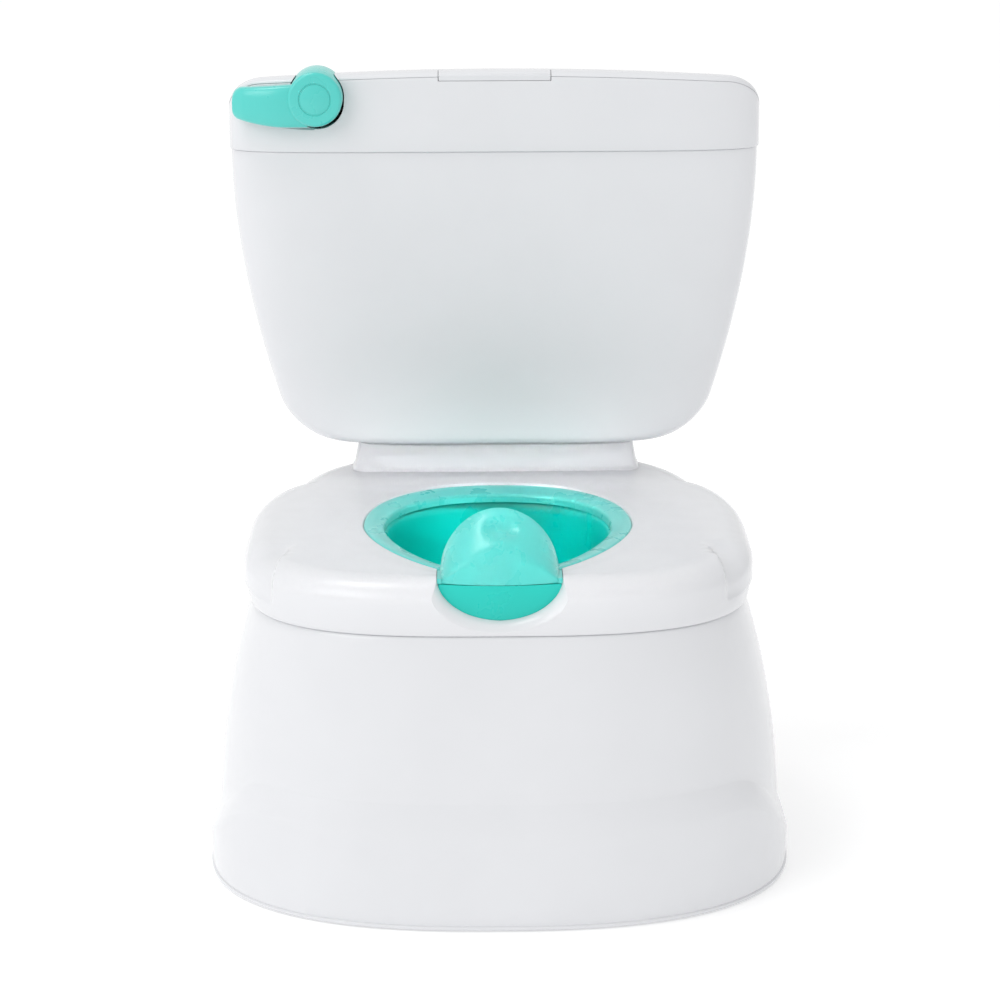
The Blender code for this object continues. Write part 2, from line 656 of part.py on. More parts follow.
def build_lid():
    """The crowned top panel over the wipes tray, with a finger tab in front and two hinges behind."""
    origin = (0.0, HINGE_Y, HINGE_Z)
    rings = [
        collar_ring(33.0, below=2.2), collar_ring(20.0, below=2.2), collar_ring(9.0, below=2.2),
        collar_ring(4.2, below=2.4), collar_ring(3.6, below=LID_RIM), collar_ring(0.4, below=LID_RIM),
        collar_ring(1.3, below=1.7), collar_ring(4.5, below=0.5), collar_ring(9.0, below=0.1),
        collar_ring(20.0, below=0.0), collar_ring(33.0, below=0.0),
    ]
    lid = loft("wipes_lid", rings, "white", closed=False, origin=origin)
    tab_front = TANK_Y - COLLAR_HALF_DEPTH + 0.6
    join(lid, block("tab", (-TAB_HALF_WIDTH, tab_front, CROWN_TOP - 5.4), (TAB_HALF_WIDTH, tab_front + 2.6, CROWN_TOP - 1.9)))
    for side in (-1, 1):
        edges = sorted((side * TAB_HALF_WIDTH, side * (TAB_HALF_WIDTH + 1.0)))
        cut(lid, block(f"slit_{side + 1}", (edges[0], 50.0, 400.0), (edges[1], 77.0, 430.0)))
    for tool in drum_pocket("lid_pocket"):
        cut(lid, tool)
    for name, x in (("left", -HINGE_X), ("right", HINGE_X)):
        for number, start in enumerate((-12.0, 4.3)):
            low, high = x + start, x + start + 7.7
            join(lid, block(f"lid_arm_{name}_{number}", (low, 139.0, HINGE_Z + 3.7), (high, 150.0, HINGE_Z + 5.7)))
            join(lid, block(f"lid_drop_{name}_{number}", (low, HINGE_Y + 1.9, HINGE_Z), (high, 150.0, HINGE_Z + 5.7)))
            join(lid, washer(f"lid_knuckle_{name}_{number}", start, start + 7.7, KNUCKLE_RADIUS,
                             PIN_RADIUS + BORE_GAP, "X", (x, HINGE_Y, HINGE_Z)))
        turned(f"lid_hinge_pin_{name}", ((-12.0, PIN_RADIUS), (12.0, PIN_RADIUS)), "X",
               (x, HINGE_Y, HINGE_Z), "steel", 12, (x, HINGE_Y, HINGE_Z))


def tray_point(angle, inset):
    x, y = super_point(angle, 96.0 - inset, 27.5 - inset, 6.0)
    return 32.0 + x, TANK_Y + y


def build_tray():
    """The open box for wipes that hangs on the collar's ledge."""
    flange = LEDGE_HIGH + GAP
    rings = []
    for inset, z in ((9.0, 344.0), (5.0, 346.0), (0.5, 384.0), (0.0, flange), (-2.3, flange), (-2.3, flange + 2.0),
                     (2.0, flange + 2.0), (2.6, 384.0), (7.0, 348.0), (11.0, 346.2)):
        rings.append(ring_of(tray_point, z, inset, count=32))
    loft("wipes_tray", rings, "white", closed=False)


# -------------------------------------------------------- lever and its axle

def arm_section(x):
    """A rounded section of the lever's arm at one place along it, from the drum to its tip."""
    reach = (LEVER_X - x) / ARM_REACH
    tip = max(0.0, reach - 0.86) ** 2 / 0.0196
    top = 415.2 - 3.2 * reach - 3.5 * tip
    low = 390.4 + 10.0 * max(0.0, reach - 0.30) ** 2 + 1.5 * tip
    back = 68.0 + 8.5 * max(0.0, reach - 0.35) ** 2 / 0.42
    front = 57.2 + 8.5 * max(0.0, reach - 0.35) ** 2 / 0.42 + 1.5 * max(0.0, reach - 0.86) / 0.14
    section = []
    for i in range(20):
        y, z = super_point(2 * math.pi * i / 20, (back - front) / 2, (top - low) / 2, 3.6)
        section.append((x, (front + back) / 2 + y, (top + low) / 2 + z))
    return section


def build_lever():
    """The flush lever: drum and arm in one moulding, turning on a steel axle with its spring and cam."""
    pivot = (LEVER_X, 0.0, LEVER_Z)
    origin = (LEVER_X, DRUM_FRONT, LEVER_Z)
    drum = ((DRUM_FRONT, DRUM_RADIUS - 1.5), (DRUM_FRONT + 1.4, DRUM_RADIUS), (DRUM_REAR, DRUM_RADIUS))
    lever = turned("flush_lever", drum, "Y", pivot, "light_teal", 32, origin)
    stations = [LEVER_X - share * ARM_REACH for share in (0.08, 0.30, 0.42, 0.59, 0.76, 0.88, 0.95, 1.0)]
    join(lever, loft("arm", [arm_section(x) for x in stations], None, closed=False))
    bore = ((DRUM_REAR - 12.0, AXLE_RADIUS + BORE_GAP), (DRUM_REAR + 5.0, AXLE_RADIUS + BORE_GAP))
    cut(lever, turned("drum_bore", bore, "Y", pivot, None, 12))
    turned("lever_axle", ((DRUM_REAR - 11.5, AXLE_RADIUS), (124.0, AXLE_RADIUS)), "Y", pivot, "steel", 12, origin)
    cam = washer("lever_cam", 103.0, 108.0, 3.8, AXLE_RADIUS + BORE_GAP, "Y", pivot, "grey", 20, origin)
    nose = (LEVER_X - NOSE_REACH, 0.0, LEVER_Z - NOSE_DROP)
    finger = block("cam_finger", (nose[0], 103.0, nose[2] - 1.2), (LEVER_X - 1.0, 108.0, nose[2] + 1.5))
    join(cam, finger)
    join(cam, turned("cam_nose", ((103.0, 2.0), (108.0, 2.0)), "Y", nose, None, 16))
    build_lever_spring(pivot, origin)


def build_lever_spring(pivot, origin):
    """A torsion coil round the axle, between the drum and the cam."""
    turns, per_turn, coil, wire, start, length = 4, 10, 3.1, 0.45, 92.0, 9.0
    curve = bpy.data.curves.new("lever_spring", "CURVE")
    curve.dimensions = "3D"
    curve.bevel_depth = wire * MM
    curve.bevel_resolution = 1
    curve.use_fill_caps = True
    spline = curve.splines.new("POLY")
    count = turns * per_turn + 1
    spline.points.add(count - 1)
    for i in range(count):
        angle = 2 * math.pi * i / per_turn
        y = start + length * i / (count - 1)
        point = (pivot[0] + coil * math.cos(angle), y, pivot[2] + coil * math.sin(angle))
        spline.points[i].co = (*[(point[k] - origin[k]) * MM for k in range(3)], 1.0)
    spring = bpy.data.objects.new("lever_spring", curve)
    spring.location = tuple(c * MM for c in origin)
    bpy.context.scene.collection.objects.link(spring)
    curve.materials.append(piece_material("lever_spring", "steel"))


def build_bracket():
    """The bearing plate behind the lever, standing on the sound module."""
    floor = MODULE_HIGH[2] + GAP
    bracket = block("lever_bracket", (LEVER_X - 14.0, 112.0, floor), (LEVER_X + 14.0, 124.0, floor + 2.2), "grey")
    join(bracket, block("bracket_upright", (LEVER_X - 9.0, 118.0, floor + 1.0), (LEVER_X + 9.0, 121.0, 409.2)))
    cut(bracket, turned("bracket_bore", ((112.0, 2.3), (126.0, 2.3)), "Y", (LEVER_X, 0, LEVER_Z), None, 16))


# -------------------------------------------------------------- sound module

def build_module():
    """The battery-powered sound maker: case, board, switch, speaker, cells and contacts."""
    low, high = MODULE_LOW, MODULE_HIGH
    case = block("sound_module_case", low, high, "grey")
    cut(case, block("case_hollow", (low[0] + 2, low[1] + 2, low[2] + 2), (high[0] - 2, high[1] + 5, high[2] - 2)))
    plunger_x = LEVER_X - NOSE_REACH
    plunger_y = 105.5
    plunger_top = LEVER_Z - NOSE_DROP - 2.0 - 0.4
    hole = ((high[2] - 6.0, 2.9), (high[2] + 4.0, 2.9))
    cut(case, turned("plunger_hole", hole, "Z", (plunger_x, plunger_y, 0.0), None, 16))
    shape = ((382.0, 2.4), (plunger_top - 0.5, 2.4), (plunger_top, 1.9))
    turned("switch_plunger", shape, "Z", (plunger_x, plunger_y, 0.0), "grey", 16, (plunger_x, plunger_y, plunger_top))
    block("switch_body", (plunger_x - 4, 101.2, 369.0), (plunger_x + 4, 109.5, 378.0), "grey")
    block("circuit_board", (low[0] + 4, 99.2, low[2] + 5), (high[0] - 4, 100.8, high[2] - 4), "board")
    cone = ((101.2, 12.0), (104.0, 12.5), (105.0, 17.5), (109.0, 17.5), (109.0, 14.5), (106.5, 5.0))
    turned("speaker", cone, "Y", (-110.0, 0.0, 346.0), "grey", 24)
    cell_y, cell_low, cell_high = 120.5, low[0] + 4.0, high[0] - 4.0
    for number, z in enumerate((338.0, 352.0), 1):
        cell = ((cell_low, 5.1), (cell_high - 1.2, 5.1), (cell_high - 1.2, 1.9), (cell_high, 1.9))
        turned(f"battery_{number}", cell, "X", (0.0, cell_y, z), "cell", 20)
    for name, x in (("left", low[0] + 2.4), ("right", high[0] - 3.4)):
        block(f"battery_contact_{name}", (x, cell_y - 5, 333.0), (x + 1.0, cell_y + 5, 357.0), "steel")


for leftover in list(bpy.data.objects):
    bpy.data.objects.remove(leftover)

build_base()
build_feet()
build_seat()
build_pot()
build_guard()
build_neck()
build_tank()
build_collar()
build_lid()
build_tray()
build_lever()
build_bracket()
build_module()
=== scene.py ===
import math

import bmesh
import bpy
from mathutils import Matrix, Vector


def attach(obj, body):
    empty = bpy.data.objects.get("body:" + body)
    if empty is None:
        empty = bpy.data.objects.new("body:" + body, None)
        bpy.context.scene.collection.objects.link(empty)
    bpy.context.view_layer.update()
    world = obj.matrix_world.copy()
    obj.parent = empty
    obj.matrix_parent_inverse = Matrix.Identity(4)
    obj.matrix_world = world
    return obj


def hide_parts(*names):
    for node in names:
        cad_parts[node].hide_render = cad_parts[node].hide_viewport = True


# Potty training chair: the looks. Lengths are in millimetres until mm turns them to metres.
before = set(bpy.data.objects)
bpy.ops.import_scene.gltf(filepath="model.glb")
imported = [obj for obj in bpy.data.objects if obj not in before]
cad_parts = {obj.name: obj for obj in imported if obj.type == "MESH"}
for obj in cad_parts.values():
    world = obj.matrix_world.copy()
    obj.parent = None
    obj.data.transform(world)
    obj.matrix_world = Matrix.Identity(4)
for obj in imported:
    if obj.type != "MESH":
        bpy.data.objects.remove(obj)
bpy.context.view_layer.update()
mm = 0.001
print("frame loaded")


# helpers for meshes

def makePiece(name, points, faces, material, sharp=38.0):
    mesh = bpy.data.meshes.new(name)
    mesh.from_pydata([(x * mm, y * mm, z * mm) for x, y, z in points], [], faces)
    work = bmesh.new()
    work.from_mesh(mesh)
    bmesh.ops.recalc_face_normals(work, faces=work.faces)
    work.to_mesh(mesh)
    work.free()
    mesh.shade_smooth()
    mesh.set_sharp_from_angle(angle=math.radians(sharp))
    piece = bpy.data.objects.new(name, mesh)
    bpy.context.scene.collection.objects.link(piece)
    if material:
        mesh.materials.append(material)
    return piece


def ringFaces(ringTotal, count, closed):
    faces = []
    for k in range(ringTotal if closed else ringTotal - 1):
        a, b = k * count, (k + 1) % ringTotal * count
        for i in range(count):
            j = (i + 1) % count
            faces.append((a + i, a + j, b + j, b + i))
    if not closed:
        for start in (0, (ringTotal - 1) * count):
            faces += [tuple(start + i for i in face) for face in mirrorCap(count)]
    return faces


def mirrorCap(count):
    # strips across a ring whose points mirror each other about its first one
    half = count // 2
    faces = [(0, 1, count - 1)]
    faces += [(i, i + 1, count - i - 1, count - i) for i in range(1, half - 1)]
    faces.append((half - 1, half, half + 1))
    return faces


def loft(name, rings, material, closed=True, sharp=38.0):
    points = [point for ring in rings for point in ring]
    return makePiece(name, points, ringFaces(len(rings), len(rings[0]), closed), material, sharp)


def axisPoint(axis, centre, along, across, up):
    offset = {"X": (along, across, up), "Y": (across, along, up), "Z": (across, up, along)}[axis]
    return tuple(centre[i] + offset[i] for i in range(3))


def turned(name, profile, axis, centre, material, sides=64, bore=False, sharp=38.0):
    # profile pairs are distance along the axis and radius; a bore profile closes on itself
    rings = []
    for along, radius in profile:
        ring = []
        for a in turnAngles(sides):
            ring.append(axisPoint(axis, centre, along, radius * math.cos(a), radius * math.sin(a)))
        rings.append(ring)
    return loft(name, rings, material, closed=bore, sharp=sharp)


def slab(name, low, high, rounding=0.0):
    points = [(x, y, z) for x in (low[0], high[0]) for y in (low[1], high[1]) for z in (low[2], high[2])]
    faces = [(0, 1, 3, 2), (4, 6, 7, 5), (0, 4, 5, 1), (2, 3, 7, 6), (0, 2, 6, 4), (1, 5, 7, 3)]
    piece = makePiece(name, points, faces, None)
    if rounding:
        bevel = piece.modifiers.new("edge", "BEVEL")
        bevel.width = rounding * mm
        bevel.segments = 3
        bevel.limit_method = "ANGLE"
        bevel.angle_limit = math.radians(50.0)
    return piece


def bake(piece, sharp=38.0):
    # the piece keeps the shape that its modifiers give it
    graph = bpy.context.evaluated_depsgraph_get()
    mesh = bpy.data.meshes.new_from_object(piece.evaluated_get(graph))
    piece.modifiers.clear()
    piece.data = mesh
    mesh.shade_smooth()
    mesh.set_sharp_from_angle(angle=math.radians(sharp))
    return piece


def carve(piece, tools, operation="DIFFERENCE", sharp=38.0):
    for tool in tools:
        step = piece.modifiers.new("carve", "BOOLEAN")
        step.operation = operation
        step.solver = "MANIFOLD"
        step.object = tool
    bake(piece, sharp)
    for tool in tools:
        bpy.data.objects.remove(tool)
    return piece


def finishPiece(piece, body, slot, *nodes):
    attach(piece, body)
    if nodes:
        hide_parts(*nodes)
    return piece


# helpers for outlines

def ramp(value, start, end):
    # 0 before start, 1 after end, smooth between them
    part = min(1.0, max(0.0, (value - start) / (end - start)))
    return part * part * (3 - 2 * part)


def blendValue(a, b, share):
    return a + (b - a) * share


def blendPoint(p, q, share):
    return tuple(blendValue(a, b, share) for a, b in zip(p, q))


def superPoint(angle, halfX, halfY, power):
    # a point on an outline between an ellipse (power 2) and a rectangle (high powers)
    c, s = math.cos(angle), math.sin(angle)
    return (halfX * math.copysign(abs(c) ** (2 / power), c), halfY * math.copysign(abs(s) ** (2 / power), s))


def egg(angle, halfX, front, rear, frontPower, rearPower, centreY):
    behind = math.sin(angle) >= 0
    x, y = superPoint(angle, halfX, rear if behind else front, rearPower if behind else frontPower)
    return x, centreY + y


def turnAngles(count):
    return [2 * math.pi * i / count for i in range(count)]


# materials

def srgb(code):
    parts = [int(code[i:i + 2], 16) / 255 for i in (1, 3, 5)]
    return [c / 12.92 if c <= 0.04045 else ((c + 0.055) / 1.055) ** 2.4 for c in parts] + [1.0]


def addNode(material, kind, settings=None, links=None):
    node = material.node_tree.nodes.new(kind)
    for key, value in (settings or {}).items():
        if hasattr(node, key) and key not in node.inputs:
            setattr(node, key, value)
        else:
            node.inputs[key].default_value = value
    for key, source in (links or {}).items():
        material.node_tree.links.new(source, node.inputs[key])
    return node


def setRamp(node, stops):
    elements = node.color_ramp.elements
    while len(elements) > 1:
        elements.remove(elements[-1])
    elements[0].position, elements[0].color = stops[0]
    for place, colour in stops[1:]:
        elements.new(place).color = colour


def addNoise(material, sizeMm, detail):
    # noise that stays put on the piece, with patches of about this size
    where = addNode(material, "ShaderNodeTexCoord")
    noise = addNode(material, "ShaderNodeTexNoise", {"Scale": 1 / (sizeMm * mm), "Detail": detail},
                    {"Vector": where.outputs["Object"]})
    return noise.outputs["Fac"]


def newMaterial(name):
    material = bpy.data.materials.new(name)
    material.use_nodes = True
    material.node_tree.nodes.clear()
    return material


plasticFinish = {
    "cloudMm": 45.0,      # size of the faint clouds in moulded colour
    "peelMm": 2.6,        # ripple of a polished mould, drawn coarser than real so that it shows
    "scuffMm": 14.0,      # patches where handling has dulled the gloss
}


def mouldedPlastic(name, shades, gloss, peel, coat=0.0, coatRough=0.12, ior=1.49, haze=0.0):
    # injection-moulded thermoplastic: clouded colour, faint orange peel, gloss that varies where hands touch
    material = newMaterial(name)
    cloud = addNoise(material, plasticFinish["cloudMm"], 2.0)
    colour = addNode(material, "ShaderNodeValToRGB", None, {"Fac": cloud})
    setRamp(colour, [(0.30, srgb(shades[0])), (0.70, srgb(shades[1]))])
    scuff = addNoise(material, plasticFinish["scuffMm"], 3.0)
    rough = addNode(material, "ShaderNodeMapRange", {"From Min": 0.3, "From Max": 0.7, "To Min": gloss[0],
                                                      "To Max": gloss[1]}, {"Value": scuff})
    ripple = addNoise(material, plasticFinish["peelMm"], 1.0)
    bump = addNode(material, "ShaderNodeBump", {"Strength": peel, "Distance": 0.1 * mm}, {"Height": ripple})
    shader = addNode(material, "ShaderNodeBsdfPrincipled", {"IOR": ior, "Coat Weight": coat,
                     "Coat Roughness": coatRough, "Sheen Weight": haze, "Sheen Roughness": 0.5},
                     {"Base Color": colour.outputs["Color"], "Roughness": rough.outputs["Result"],
                      "Normal": bump.outputs["Normal"]})
    addNode(material, "ShaderNodeOutputMaterial", None, {"Surface": shader.outputs["BSDF"]})
    return material


# polished white polypropylene gives broad soft reflections over a clean milky body
whitePolypropylene = mouldedPlastic("whitePolypropylene", ("#d9dadd", "#dbdcdf"), (0.20, 0.27), 0.10,
                                    coat=0.25, coatRough=0.10)
# the same plastic from an untextured inner mould face is a little duller
innerPolypropylene = mouldedPlastic("innerPolypropylene", ("#d4d5d8", "#d8d9dc"), (0.34, 0.44), 0.16)
# deep teal polypropylene: light thrown from wall to wall inside the bowl deepens the colour
tealPolypropylene = mouldedPlastic("tealPolypropylene", ("#00bdb0", "#00c1b4"), (0.26, 0.36), 0.10)
# lighter teal polypropylene reads minty where it mirrors the studio
mintPolypropylene = mouldedPlastic("mintPolypropylene", ("#41c5bd", "#46c8c0"), (0.24, 0.34), 0.10,
                                   coat=0.5, coatRough=0.22, ior=1.56, haze=0.12)
# grey ABS from a spark-eroded mould has a fine matt grain
greyAbs = mouldedPlastic("greyAbs", ("#4c4d50", "#55565a"), (0.50, 0.62), 0.5, coatRough=0.3, ior=1.53)
# soft thermoplastic rubber is almost without gloss
thermoplasticRubber = mouldedPlastic("thermoplasticRubber", ("#55565a", "#606165"), (0.78, 0.9), 0.8,
                                     coatRough=0.5)
# the shrunk plastic sleeve of a battery cell is dark and glossy
cellSleeve = mouldedPlastic("cellSleeve", ("#202226", "#2a2c31"), (0.22, 0.30), 0.05, coat=0.3, coatRough=0.1)
# solder mask over glass fibre is green and slightly uneven
solderMask = mouldedPlastic("solderMask", ("#1c5a35", "#216640"), (0.30, 0.40), 0.6,
                            coat=0.2, coatRough=0.2, ior=1.55)


def platedSteel(name):
    # zinc-plated steel wire and screws: a fine grain in a pale blue-grey metal
    material = newMaterial(name)
    grain = addNoise(material, 0.8, 4.0)
    colour = addNode(material, "ShaderNodeValToRGB", None, {"Fac": grain})
    setRamp(colour, [(0.3, srgb("#a9adb3")), (0.7, srgb("#c3c6ca"))])
    rough = addNode(material, "ShaderNodeMapRange", {"To Min": 0.24, "To Max": 0.40}, {"Value": grain})
    bump = addNode(material, "ShaderNodeBump", {"Strength": 0.2, "Distance": 0.05 * mm}, {"Height": grain})
    shader = addNode(material, "ShaderNodeBsdfPrincipled", {"Metallic": 1.0},
                     {"Base Color": colour.outputs["Color"], "Roughness": rough.outputs["Result"],
                      "Normal": bump.outputs["Normal"]})
    addNode(material, "ShaderNodeOutputMaterial", None, {"Surface": shader.outputs["BSDF"]})
    return material


zincSteel = platedSteel("zincSteel")
print("materials made")


# base: an egg-shaped skirt with a stepped, flared lower band

base = {
    "widestY": -30.0,
    "halfWidth": 154.2,     # of the wall at the floor; the lower band stands out from it
    "front": 121.0,
    "rear": 181.0,
    "rimHalf": 132.6,
    "rimFront": 107.0,
    "rimRear": 176.0,
    "rimZ": 155.8,
    "wall": 3.0,
    "step": 3.1,          # how far the lower band stands out in front
    "flare": 1.7,         # and how many times that at the sides
    "bandFront": (45.6, 69.5),   # lowest and highest line of the band in front
    "bandSide": (16.0, 31.0),    # and at the sides, where it dives towards the floor
    "bandArch": 7.4,      # how much the lowest line climbs from the middle to the front corners
    "count": 288,
}


def basePoint(angle, z, out=0.0):
    rise = max(0.0, z) / base["rimZ"]
    lean = rise ** 2.4
    half = blendValue(base["halfWidth"], base["rimHalf"], lean)
    front = blendValue(base["front"], base["rimFront"], lean)
    rear = blendValue(base["rear"], base["rimRear"], lean)
    flare = base["flare"] if out > 0.0 else 1.0
    return egg(angle, half + out * flare, front + out, rear + out, 2.5 + 0.5 * rise, 2.5 + rise,
               base["widestY"])


def makeBase():
    rings = []

    def level(heightOf, outOf):
        ring = []
        for angle in turnAngles(base["count"]):
            z, out = heightOf(angle), outOf(angle)
            ring.append((*basePoint(angle, z, out), z))
        rings.append(ring)

    def flat(z, out):
        level(lambda angle: z, lambda angle: out)

    def bandEdge(which):
        def height(angle):
            share = ramp(-math.sin(angle), 0.0, 0.68)
            rise = base["bandArch"] * ramp(abs(math.cos(angle)), 0.2, 0.62) * (1 - which)
            return blendValue(base["bandSide"][which], base["bandFront"][which] + rise, share)
        return height

    low, high, step = bandEdge(0), bandEdge(1), base["step"]
    for z, out in ((0.9, step - 1.0), (1.0, step - 0.35), (1.35, step), (2.5, step), (2.85, step - 0.25),
                   (3.1, step - 0.6), (3.4, step - 0.45)):
        flat(z, out)
    for share in (0.15, 0.35, 0.6, 0.8, 0.93):
        level(lambda a: blendValue(3.6, low(a), share), lambda a: step - 0.35 * (1 - share))
    for k in range(13):
        share = k / 12
        level(lambda a: blendValue(low(a), high(a), share), lambda a: step * (1 - share ** 1.3))
    for k in range(1, 27):
        share = (k / 26) ** 0.9
        level(lambda a: blendValue(high(a), base["rimZ"] - 1.6, share), lambda a: 0.0)
    for z, out in ((-1.1, -0.1), (-0.6, -0.3), (-0.2, -0.65), (0.0, -1.2)):
        flat(base["rimZ"] + z, out)
    opening = [openingPoint(angle, 7.0) for angle in turnAngles(base["count"])]
    rings.append([(x, y, base["rimZ"]) for x, y in opening])
    rings.append([(x, y, base["rimZ"] - base["wall"]) for x, y in opening])
    for z in (base["rimZ"] - base["wall"], 140.0, 120.0, 95.0, 60.0, 25.0, 7.4):
        flat(z, -base["wall"] - (1.0 if z > 150 else 0.0))
    for z, out in ((6.6, -base["wall"] - 1.0), (6.6, -25.0), (3.4, -25.0), (3.4, 0.3), (0.9, 0.5)):
        flat(z, out)
    piece = loft("baseSkirt", rings, whitePolypropylene, sharp=30.0)
    return finishPiece(piece, "base", "white_plastic", "base_shell")


# seat: rounded rim with side grips, rear deck and front scoop

seat = {
    "openingY": -22.0,
    "openingHalf": 72.0,
    "openingFront": 104.0,
    "openingRear": 82.5,
    "half": 135.0,        # of the rim, before the grips add to it
    "top": 185.0,
    "skin": 3.2,
    "ledgeZ": 175.6,
    "potGap": 1.42,       # from the opening's outline to the seat's inner wall
    "bottom": 156.0,
    "gripReach": 2.0,
    "gripRear": 68.0,
    "gripLength": 72.0,
    "narrowing": 13.0,    # how much narrower the deck is behind the grips
    "undercut": 9.0,
    "scoopHalf": 33.0,
    "scoopLow": 162.6,
    "bow": 0.0028,        # how strongly the scoop curves back with the seat's front
    "count": 320,
}


def openingPoint(angle, grow):
    return egg(angle, seat["openingHalf"] + grow, seat["openingFront"] + grow, seat["openingRear"] + grow,
               1.6, 2.3, seat["openingY"])


def rimPoint(angle, inset, grips=0.0, undercut=0.0):
    x, y = egg(angle, seat["half"] - inset, base["rimFront"] - inset, base["rimRear"] - inset, 3.0, 3.5,
               base["widestY"])
    side = math.copysign(1.0, x) if abs(x) > 1.0 else 0.0
    forward = min(1.0, max(0.0, (seat["gripRear"] - y) / seat["gripLength"]))
    swell = math.sqrt(1.0 - (1.0 - forward) ** 2)
    gripOut = seat["gripReach"] * swell * ramp(y, -116.0, -92.0)
    deckIn = seat["narrowing"] * (1.0 - swell) * ramp(abs(x), 20.0, 70.0)
    fingers = undercut * ramp(y, 48.0, 34.0) * ramp(y, -74.0, -60.0)
    return x + side * (grips * (gripOut - deckIn) - fingers), y


def makeSeat():
    top, count = seat["top"], seat["count"]
    angles = turnAngles(count)
    inner = [openingPoint(a, 2.6) for a in angles]
    outer = [rimPoint(a, 14.0, 1.0) for a in angles]
    rings = []

    def fromOpening(grow, z):
        rings.append([(*openingPoint(a, grow), z) for a in angles])

    def fromRim(inset, z, grips=1.0, undercut=0.0):
        rings.append([(*rimPoint(a, inset, grips, undercut), z) for a in angles])

    def between(share, z):
        rings.append([(*blendPoint(p, q, share), z) for p, q in zip(inner, outer)])

    gap, r = seat["potGap"], 1.2
    fromOpening(gap, seat["ledgeZ"])
    fromOpening(gap, top - 1.6)
    for turn in (15, 30, 45, 60, 75, 90):
        a = math.radians(turn)
        fromOpening(gap + r * (1 - math.cos(a)), top - 0.4 - r * (1 - math.sin(a)))
    for k in range(1, 15):
        between(k / 15, top - 0.4 * (1 - ramp(k, 0, 4)))
    # the rim's shoulder is a quarter of an ellipse, 14 mm in and 12 mm down
    for k in range(19):
        a = math.radians(90 * k / 18)
        fromRim(14.0 - 14.3 * math.sin(a) ** 1.05, top - 12.5 * (1 - math.cos(a)) ** 1.05)
    for z in (169.5, 167.0, 165.8):
        fromRim(-0.3, z)
    for z, grips, share in ((165.2, 0.95, 0.08), (164.8, 0.85, 0.3), (164.4, 0.75, 0.8), (164.0, 0.7, 1.0),
                            (161.5, 0.5, 1.0), (159.0, 0.25, 1.0), (157.3, 0.1, 1.0)):
        fromRim(-0.3, z, grips, seat["undercut"] * share)
    fromRim(-0.05, 156.7, 0.05, seat["undercut"])
    fromRim(0.45, seat["bottom"] + 0.05, 0.0, seat["undercut"])
    fromRim(3.0, seat["bottom"], 0.0, seat["undercut"])
    fromRim(3.8, top - 18.0, 0.4, seat["undercut"])
    fromRim(6.0, top - 8.5)
    fromRim(13.0, top - seat["skin"] - 0.9)
    between(0.55, top - seat["skin"])
    fromOpening(4.2, top - seat["skin"])
    fromOpening(4.2, seat["ledgeZ"] - 3.0)
    fromOpening(-7.0, seat["ledgeZ"] - 3.0)
    fromOpening(-7.0, seat["ledgeZ"])
    rings[:] = [[shapeSeatTop(point) for point in ring] for ring in rings]
    piece = loft("seatRim", rings, whitePolypropylene, sharp=32.0)
    backing = []
    for y in (-134.5, -131.3):
        ring = []
        for a in turnAngles(64):
            x, z = superPoint(a, 40.0, 12.2, 6.0)
            ring.append((x, y + seat["bow"] * x * x, 170.7 + z))
        backing.append(ring)
    carve(piece, [loft("scoopBacking", backing, None, closed=False)], "UNION", 32.0)
    scoop = []
    centreZ = top + 1.0
    for y, grow in ((-152.0, 8.0), (-139.6, 3.9), (-138.6, 2.9), (-137.8, 2.2), (-136.9, 1.6), (-135.8, 1.0),
                    (-134.6, 0.5), (-133.2, 0.1), (-131.8, -0.15), (-130.0, -0.3), (-96.0, -0.4)):
        ring = []
        for a in turnAngles(128):
            x = (seat["scoopHalf"] + grow) * math.cos(a)
            z = centreZ + (centreZ - seat["scoopLow"] + 2.2 * grow) * math.sin(a)
            ring.append((x, y + seat["bow"] * x * x, z))
        scoop.append(ring)
    carve(piece, [loft("scoopTool", scoop, None, closed=False)], sharp=32.0)
    return finishPiece(piece, "upper", "white_plastic", "seat")


def shapeSeatTop(point):
    # a low plateau in front of the neck, and the crease that sets each grip off from the front corner
    x, y, z = point
    if z < seat["top"] - 24.0:
        return point
    lift = 1.0 * ramp(y, 44.0, 60.0) * ramp(abs(x), 84.0, 64.0) * ramp(z, 184.0, 184.6)
    start, end = Vector((111.0, -62.0)), Vector((121.0, -112.0))
    way = end - start
    here = Vector((abs(x), y)) - start
    share = here.dot(way) / way.length_squared
    across = (here.x * way.y - here.y * way.x) / way.length
    fade = ramp(share, -0.1, 0.35) * ramp(share, 1.15, 0.9)
    inside = ramp(across, 1.6, -2.0) * ramp(across, -24.0, -4.0)
    crease = 3.0 * fade * inside * ramp(z, seat["top"] - 24.0, seat["top"] - 14.0)
    return x - math.copysign(0.6 * crease, x), y + 0.5 * crease, z + lift - crease


# pot and splash guard

pot = {
    "bottom": 55.5,
    "flangeLow": 175.9,
    "flangeTop": 178.3,
    "apronHalf": 32.3,
    "count": 224,
}
guard = {
    "ringTop": 184.6,
    "hoodHalf": 30.9,
    "hoodTop": 215.5,
    "lipY": -131.4,
    "lipZ": 181.9,
    "thick": 2.3,
}


